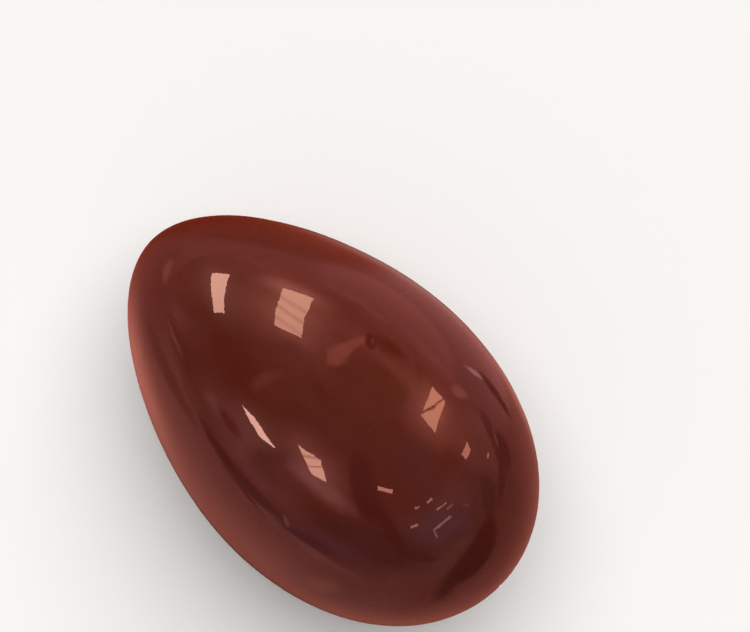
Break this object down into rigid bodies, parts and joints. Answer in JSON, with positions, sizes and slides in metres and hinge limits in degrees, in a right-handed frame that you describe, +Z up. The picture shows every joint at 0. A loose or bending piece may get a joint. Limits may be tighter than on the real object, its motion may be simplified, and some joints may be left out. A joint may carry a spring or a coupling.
{
  "type": "chocolate egg",
  "caption": "Smooth glossy moulded chocolate egg, whole and undecorated, lying on its side on a small flat spot, to eat or give as a sweet.",
  "frame": {"origin": "on the ground plane, under the middle of the egg's bounding box", "axes": "+X along the egg towards its blunt end (the long axis dips about 6 degrees towards the narrow end), +Y across the egg, +Z up"},
  "size_m": [0.1198, 0.0784, 0.0782],
  "materials": {
    "chocolate": "mirror-glossy dark milk chocolate, smooth as it left the mould"
  },
  "bodies": {
    "root": {"egg": "chocolate"}
  },
  "joints": []
}
